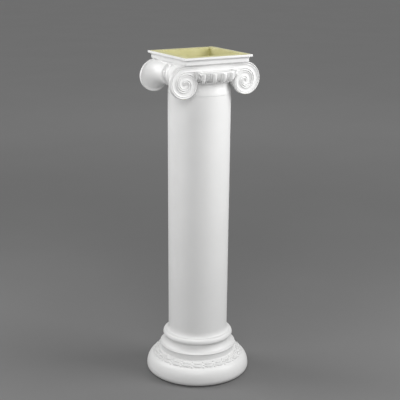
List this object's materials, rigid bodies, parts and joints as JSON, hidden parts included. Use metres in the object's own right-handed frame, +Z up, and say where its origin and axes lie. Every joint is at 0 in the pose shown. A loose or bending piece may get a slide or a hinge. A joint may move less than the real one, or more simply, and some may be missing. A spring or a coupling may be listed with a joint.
{
  "type": "column pedestal",
  "caption": "Hollow Ionic column pedestal with moulded round base, plain tapering shaft, scrolled capital and open square top.",
  "frame": {"origin": "centre of the flat underside of the base", "axes": "+Z up along the column axis, the two scroll faces of the capital look along -Y and +Y, the rolled bolsters lie on the -X and +X sides"},
  "size_m": [0.3194, 0.3194, 1],
  "materials": {
    "coated_foam_base": "white satin brush coat over rigid polyurethane foam",
    "coated_foam_shaft": "white satin brush coat over rigid polyurethane foam",
    "coated_foam_capital": "white satin brush coat over rigid polyurethane foam",
    "bare_foam": "uncoated pale yellow foam skin inside and on the top rim"
  },
  "bodies": {
    "root": {"base": "coated_foam_base", "shaft": "coated_foam_shaft", "capital": "coated_foam_capital"}
  },
  "joints": []
}
